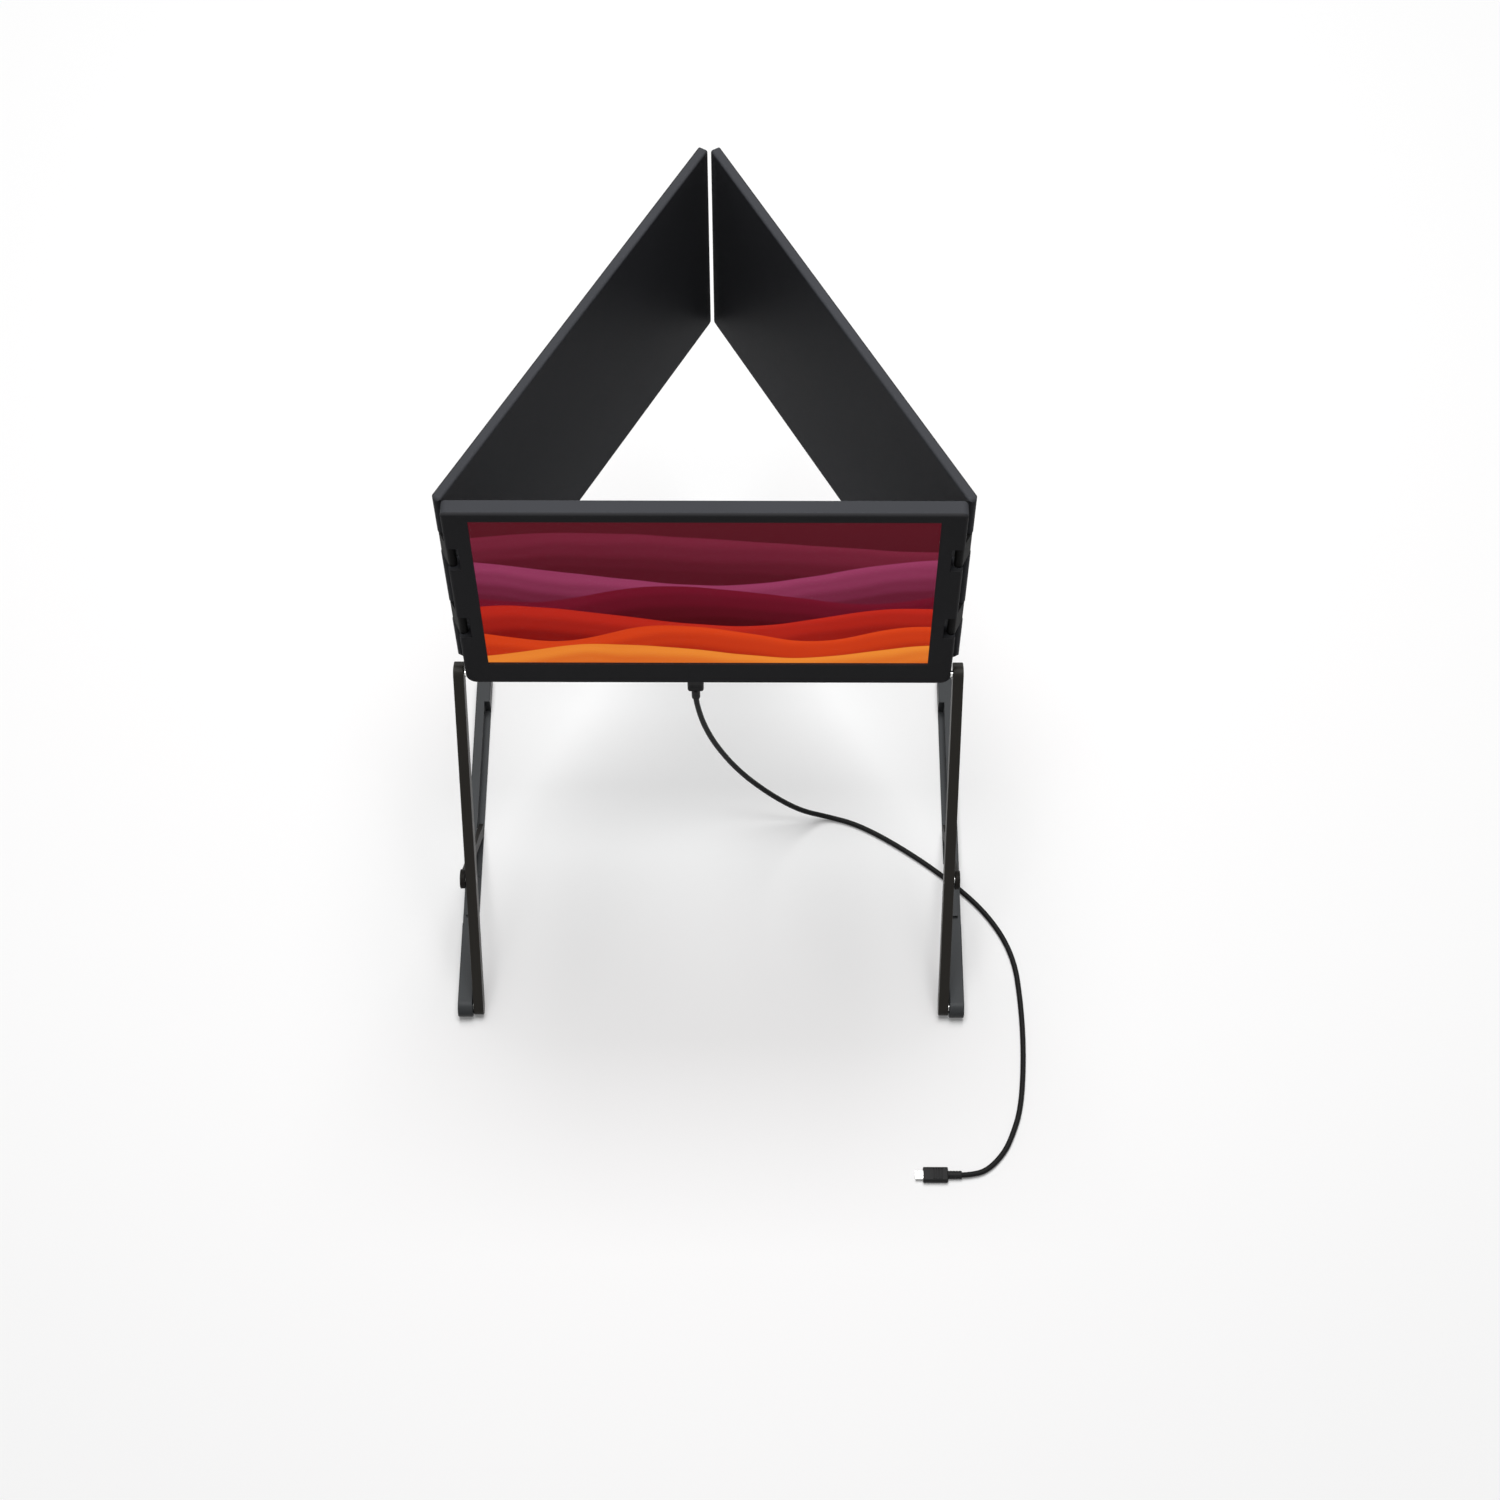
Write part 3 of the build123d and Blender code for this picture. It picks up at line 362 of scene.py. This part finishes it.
def diffuserFinish():
    finish = Finish("lightDiffuser")
    fine = finish.noise(900, 2.0)
    return finish.surface(Base_Color=finish.mixed(fine, (0.78, 0.78, 0.76, 1), (0.86, 0.86, 0.85, 1)),
                          Roughness=0.4 + 0.1 * fine)


def glassFinish():
    # a thin clear sheet with a low-glare coating: nearly all of the picture comes through
    finish = Finish("displayGlass")
    fine = finish.noise(3000, 1.0)
    return finish.surface(Base_Color=(0.01, 0.01, 0.012, 1), Alpha=0.02, Roughness=0.24 + 0.06 * fine)


pictureFacts = {
    "width": 0.3442, "height": 0.1936, "sky": ((88, 24, 34), (64, 14, 22)),
    # how the crests ripple and drift, how fine the strata below them are, how fast the rim's light fades
    "ripple": (13.1, 0.12), "drift": 0.05, "strata": (70, 9, 5), "fade": 4.2, "streak": 0.16,
    "rimWidth": 0.05, "edge": 260,
    # from back to front: crest height, swing, waves across, phase, rim colour, deep colour
    "ridges": [(0.86, 0.06, 0.7, 0.4, (120, 38, 58), (84, 20, 32)),
               (0.66, 0.09, 0.8, 2.3, (150, 60, 96), (98, 28, 48)),
               (0.50, 0.06, 1.3, 4.2, (112, 20, 40), (74, 10, 18)),
               (0.34, 0.07, 1.1, 0.9, (190, 42, 28), (120, 16, 14)),
               (0.22, 0.06, 1.7, 3.3, (216, 68, 26), (160, 28, 14)),
               (0.09, 0.05, 1.3, 5.4, (236, 140, 52), (196, 52, 20))]}


def litPicture(name, corner, along, shift):
    # overlapping ridges in warm light; corner is the picture's lower left, along its lower edge
    facts = pictureFacts
    finish = Finish(name)
    offset = finish.add("ShaderNodeVectorMath", {"operation": "SUBTRACT"},
                        {0: finish.place, 1: corner})
    across = finish.add("ShaderNodeVectorMath", {"operation": "DOT_PRODUCT"},
                        {0: offset, 1: along}, "Value") / facts["width"]
    up = finish.add("ShaderNodeSeparateXYZ", {}, {0: offset}, "Z") / facts["height"]
    drift = finish.noise(9, 2.0) - 0.5
    rippleCount, rippleShare = facts["ripple"]
    fine, loose, slant = facts["strata"]
    picture = finish.mixed(up, screenColour(*facts["sky"][1]), screenColour(*facts["sky"][0]))
    for crest, swing, waves, phase, rim, deep in facts["ridges"]:
        line = (across * (waves * math.tau) + (phase + shift)).wave() * swing + crest
        line = line + (across * (waves * rippleCount) + phase * 2).wave() * (swing * rippleShare)
        below = line + drift * facts["drift"] - up
        strata = (below * fine + drift * loose + across * slant).wave() * 0.5 + 0.5
        depth = (below * facts["fade"] + strata * facts["streak"] - facts["rimWidth"]).limited()
        colour = finish.mixed(depth, screenColour(*rim), screenColour(*deep))
        picture = finish.mixed((below * facts["edge"]).limited(), picture, colour)
    return finish.surface(Base_Color=(0.004, 0.004, 0.005, 1), Roughness=0.30,
                          Specular_IOR_Level=0.0, Emission_Color=picture, Emission_Strength=1.0)


caseMaterial = casePlastic("caseBack", (60, 61, 64), (67, 68, 72), 0.42)
bezelMaterial = casePlastic("caseFront", (52, 52, 54), (58, 58, 60), 0.44)
keyMaterial = casePlastic("keyCap", (44, 44, 44), (50, 50, 50), 0.40, 2200)
armMaterial = legAluminium("armBlack", (39, 37, 34), (47, 45, 41), 0.38, -61.45)
strutMaterial = legAluminium("strutBlack", (28, 27, 25), (35, 33, 31), 0.44, 46.5, 0.05)
# the foot bar is coloured a lighter grey than the arm, as painted light on its upward face
footLitMaterial = legAluminium("footLitGrey", (54, 56, 57), (64, 66, 68), 0.40, 0.0)
# the hinge links take the case's black plastic painted much darker, as painted shade over the light that
# falls on their outward faces
hingeShadeMaterial = casePlastic("hingeShadedBlack", (33, 33, 33), (39, 39, 39), 0.46, 2600)
steelMaterial = turnedSteel("pinSteel", (206, 206, 204), 0.22)
washerMaterial = turnedSteel("washerSteel", (238, 238, 236), 0.08)
darkSteelMaterial = turnedSteel("blackSteel", (72, 71, 70), 0.34)
boardMaterial = boardFinish()
dress(caseMaterial, "centre_rear_cover", *both("screen_rear_cover"))
dress(bezelMaterial, "centre_front_bezel", *both("screen_front_bezel"))
dress(glassFinish(), "centre_display_glass", *both("screen_display_glass"))
dress(diffuserFinish(), "centre_backlight", *both("screen_backlight"))
dress(boardMaterial, "centre_driver_board", "centre_port_board", *both("screen_driver_board"))
dress(keyMaterial, "power_key", "menu_key")
dress(steelMaterial, "usb_c_socket", "panel_plug_shell", "far_plug_shell",
      *both("screen_hinge_pins", "centre_hinge_pins", "leg_bush", "panel_pivot_pin",
            "strut_slide_pin"))
dress(washerMaterial, *both("leg_washers"))
dress(darkSteelMaterial, *both("foot_pivot_pin", "strut_pivot_pin"))
dress(hingeShadeMaterial, *both("upper_hinge_link", "lower_hinge_link"))
dress(armMaterial, *both("leg_arm"))
dress(strutMaterial, *both("strut"))
dress(footLitMaterial, *both("foot_bar"))
dress(rubberFinish(), *both("foot_pads"))

dress(litPicture("centrePicture", (-0.1721, -0.0961, 0.31975), (1, 0, 0), 0.0), "centre_lcd_panel")
for side, sign, shift in (("right_", 1, 1.7), ("left_", -1, 4.1)):
    low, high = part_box(side + "screen_display_glass")
    # the picture's lower left as its own viewer sees it
    near = Vector((low.x if sign < 0 else high.x, low.y, low.z))
    far = Vector((high.x if sign < 0 else low.x, high.y, low.z))
    corner, away = (near, far - near) if sign > 0 else (far, near - far)
    dress(litPicture(side + "picture", corner, away.normalized(), shift), side + "screen_lcd_panel")
print("finishes on")


# Screw heads in the back of the centre case, with six-lobed sockets

screwFacts = {"radius": 0.0022, "head": 0.0011, "rim": 0.0003, "crown": 0.00012, "shoulder": 0.0007,
              "lobe": 0.0011, "waist": 0.0008, "deep": 0.0007, "sides": 36, "seat": -0.08666,
              "places": [(x, 0.30355) for x in (-0.165, -0.055, 0.055, 0.165)]
              + [(x, z) for x in (-0.1843, 0.1843) for z in (0.41905, 0.51315)]}


def coverScrews():
    facts = screwFacts
    mesh = bmesh.new()
    for x, z in facts["places"]:
        place = Matrix.Translation((x, facts["seat"], z)) @ Matrix.Rotation(math.radians(-90), 4, "X")
        head = bmesh.new()
        bmesh.ops.create_circle(head, cap_ends=True, segments=facts["sides"], radius=facts["radius"])
        top = bmesh.ops.extrude_face_region(head, geom=head.faces[:])["geom"]
        lifted = [v for v in top if isinstance(v, bmesh.types.BMVert)]
        bmesh.ops.translate(head, vec=(0, 0, facts["head"]), verts=lifted)
        crown = [f for f in top if isinstance(f, bmesh.types.BMFace)]
        bmesh.ops.inset_region(head, faces=crown, thickness=facts["rim"], depth=0.0)
        for vert in crown[0].verts:
            vert.co.z += facts["crown"]
        bmesh.ops.inset_region(head, faces=crown, thickness=facts["shoulder"], depth=0.0)
        for count, vert in enumerate(crown[0].verts):
            reach = facts["lobe"] if count % 6 < 3 else facts["waist"]
            vert.co.xy = vert.co.xy.normalized() * reach
        pushed = bmesh.ops.extrude_face_region(head, geom=crown)["geom"]
        bmesh.ops.delete(head, geom=crown, context="FACES")
        sunk = [v for v in pushed if isinstance(v, bmesh.types.BMVert)]
        bmesh.ops.translate(head, vec=(0, 0, -facts["deep"]), verts=sunk)
        bmesh.ops.recalc_face_normals(head, faces=head.faces)
        bmesh.ops.transform(head, matrix=place, verts=head.verts)
        part = bpy.data.meshes.new("screwHead")
        head.to_mesh(part)
        head.free()
        mesh.from_mesh(part)
        bpy.data.meshes.remove(part)
    piece = finished("coverScrews", mesh, "screen", darkSteelMaterial, smooth=False)
    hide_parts("rear_cover_screws")


coverScrews()
print("screws set")


# Table and light: a white floor, a wide soft lamp overhead and an even surround

floorFacts = {"size": 14.0, "drop": 0.0001, "seen": (0.80, 0.80, 0.80, 1), "bounced": (0.25, 0.25, 0.25, 1),
              "lift": 0.14, "near": 0.75, "fade": 1.5, "farBounce": 0.25, "farSeen": 0.75}
lightFacts = {"surround": 0.15, "lampSize": (1.6, 2.8), "lampHeight": 3.4, "lampPower": 130.0,
              "lampPlace": (0.0, 0.55)}


def floorFinish():
    finish = Finish("tableWhite")
    rays = [finish.add("ShaderNodeLightPath", {}, {}, name)
            for name in ("Is Camera Ray", "Is Glossy Ray", "Is Transmission Ray")]
    seen = (rays[0] + rays[1] + rays[2]).limited()
    white = finish.add("ShaderNodeBsdfDiffuse", {}, {
        "Color": finish.mixed(seen, floorFacts["bounced"], floorFacts["seen"])})
    glow = finish.add("ShaderNodeEmission", {}, {"Color": (1, 1, 1, 1),
                                                 "Strength": seen * floorFacts["lift"]})
    lit = finish.add("ShaderNodeAddShader", {}, {0: white, 1: glow})
    # the floor fades to an even white away from the part
    reach = finish.add("ShaderNodeVectorMath", {"operation": "LENGTH"}, {0: finish.place}, "Value")
    even = finish.add("ShaderNodeEmission", {}, {
        "Color": (1, 1, 1, 1), "Strength": seen * floorFacts["farSeen"] + floorFacts["farBounce"]})
    table = finish.add("ShaderNodeMixShader", {}, {
        0: ((reach - floorFacts["near"]) / floorFacts["fade"]).limited(), 1: lit, 2: even})
    finish.tree.links.new(table.socket, finish.out.inputs["Surface"])
    return finish.material


floorMesh = bmesh.new()
bmesh.ops.create_grid(floorMesh, x_segments=2, y_segments=2, size=floorFacts["size"] / 2)
bmesh.ops.translate(floorMesh, vec=(0, 0, -floorFacts["drop"]), verts=floorMesh.verts)
floorData = bpy.data.meshes.new("table")
floorMesh.to_mesh(floorData)
floorMesh.free()
floor = bpy.data.objects.new("table", floorData)
floorData.materials.append(floorFinish())
bpy.context.scene.collection.objects.link(floor)

world = bpy.data.worlds.new("surround")
world.use_nodes = True
worldNodes, worldLinks = world.node_tree.nodes, world.node_tree.links
worldNodes.clear()
worldOut = worldNodes.new("ShaderNodeOutputWorld")
seen = worldNodes.new("ShaderNodeLightPath")
anySight = worldNodes.new("ShaderNodeMath")
anySight.operation = "MAXIMUM"
worldLinks.new(seen.outputs["Is Camera Ray"], anySight.inputs[0])
worldLinks.new(seen.outputs["Is Glossy Ray"], anySight.inputs[1])
level = worldNodes.new("ShaderNodeMapRange")
level.inputs["To Min"].default_value = lightFacts["surround"]
level.inputs["To Max"].default_value = 1.0
worldLinks.new(anySight.outputs[0], level.inputs["Value"])
sky = worldNodes.new("ShaderNodeBackground")
sky.inputs["Color"].default_value = (1, 1, 1, 1)
worldLinks.new(level.outputs["Result"], sky.inputs["Strength"])
worldLinks.new(sky.outputs[0], worldOut.inputs["Surface"])
bpy.context.scene.world = world

lampData = bpy.data.lights.new("overhead", "AREA")
lampData.shape = "RECTANGLE"
lampData.size, lampData.size_y = lightFacts["lampSize"]
lampData.energy = lightFacts["lampPower"]
lamp = bpy.data.objects.new("overhead", lampData)
lamp.location = (*lightFacts["lampPlace"], lightFacts["lampHeight"])
bpy.context.scene.collection.objects.link(lamp)
print("table and lights ready")
